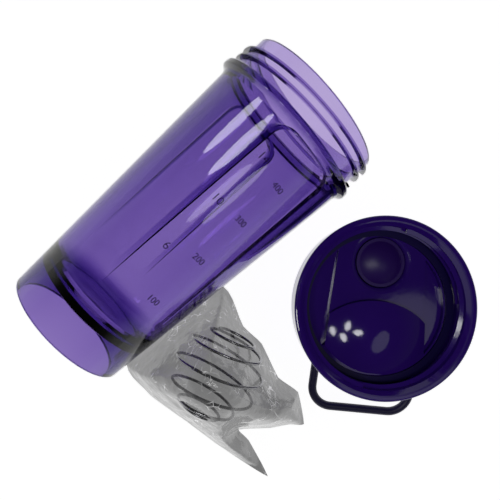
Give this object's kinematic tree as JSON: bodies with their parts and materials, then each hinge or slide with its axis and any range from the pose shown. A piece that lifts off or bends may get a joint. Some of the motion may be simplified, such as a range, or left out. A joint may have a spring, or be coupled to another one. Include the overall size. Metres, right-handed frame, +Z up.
{
  "type": "protein shaker bottle",
  "caption": "Clear shaker cup lying on its side, its screw lid inside-up with flip cap and carry loop, and a wire whisk ball in a clear film bag.",
  "frame": {"origin": "on the surface it lies on, under the centre of the whole laid-out set", "axes": "+Z up, +X along the cup from foot to mouth in plan, +Y towards the cup's side of the layout"},
  "size_m": [0.1801, 0.2102, 0.0899],
  "materials": {
    "cup_clear": "clear purple moulded copolyester, polished",
    "lid_plastic": "dark purple moulded polypropylene, glossy inside",
    "cap_plastic": "dark purple moulded polypropylene",
    "loop_plastic": "dark navy moulded plastic, satin",
    "seal_rubber": "dark purple silicone, satin",
    "plug_rubber": "dark purple soft plastic, satin",
    "pin_plastic": "dark purple moulded pin",
    "whisk_wire": "drawn stainless spring wire",
    "clear_film": "thin clear crinkled packing film"
  },
  "bodies": {
    "whisk": {"whisk": "whisk_wire"},
    "bag": {"whisk_bag": "clear_film"},
    "cup": {"cup": "cup_clear"},
    "seal": {"lid_gasket": "seal_rubber"},
    "lid": {"lid_shell": "lid_plastic", "hinge_pin": "pin_plastic"},
    "cap": {"flip_cap": "cap_plastic", "spout_plug": "plug_rubber"},
    "loop": {"carry_loop": "loop_plastic"}
  },
  "joints": [
    {"name": "bag_lift", "type": "slide", "parent": "whisk", "child": "bag", "axis": [0, 0, 1], "range_m": [0, 0.06]},
    {"name": "cup_slide", "type": "slide", "parent": "whisk", "child": "cup", "axis": [0.9974, 0, 0.0722], "range_m": [0, 0.01925]},
    {"name": "lid_carry", "type": "hinge", "parent": "whisk", "child": "seal", "pos_m": [0.06942, 0.00383, 0.05093], "axis": [-0.7123, 0.2313, 0.6627], "range_deg": [0, 204.28]},
    {"name": "lid_turn", "type": "hinge", "parent": "seal", "child": "lid", "pos_m": [0.04065, -0.04486, 0.037], "axis": [0, 0, 1], "range_deg": [0, 720]},
    {"name": "cap_flip", "type": "hinge", "parent": "lid", "child": "cap", "pos_m": [0.01972, -0.06346, 0.008], "axis": [-0.6643, 0.7475, 0], "range_deg": [0, 105]},
    {"name": "loop_swing", "type": "hinge", "parent": "lid", "child": "loop", "pos_m": [0.01972, -0.06346, 0.008], "axis": [0.6643, -0.7475, 0], "range_deg": [-9, 40]}
  ],
  "couplings": [
    {"joint": "cup_slide", "follows": "lid_turn", "m_per_rad": 0.0015279}
  ]
}
